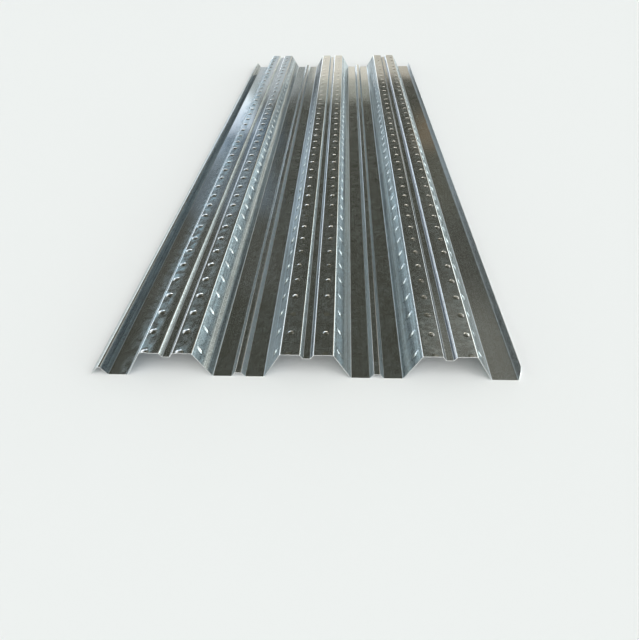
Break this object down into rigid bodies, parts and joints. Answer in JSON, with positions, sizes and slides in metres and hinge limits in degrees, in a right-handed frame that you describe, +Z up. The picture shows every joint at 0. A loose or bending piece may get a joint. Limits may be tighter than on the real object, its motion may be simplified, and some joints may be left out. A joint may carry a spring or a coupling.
{
  "type": "steel floor decking sheet",
  "caption": "Trapezoidal galvanised steel floor decking sheet with grooved crests, ribbed pans and interlocking edge lips, laid across beams as permanent formwork for a concrete slab.",
  "frame": {"origin": "under the middle of the sheet's outline, on the underside of the pans", "axes": "+Y along the corrugations, +Z up out of the pans, hooked lip on the -X edge, upright lip on the +X edge, snipped lip corner at the -Y end"},
  "size_m": [0.7456, 2.2, 0.051],
  "materials": {
    "galvanised_steel": "hot-dip galvanised, semi-bright, with fine rolling streaks"
  },
  "bodies": {
    "root": {"decking_sheet": "galvanised_steel"}
  },
  "joints": []
}
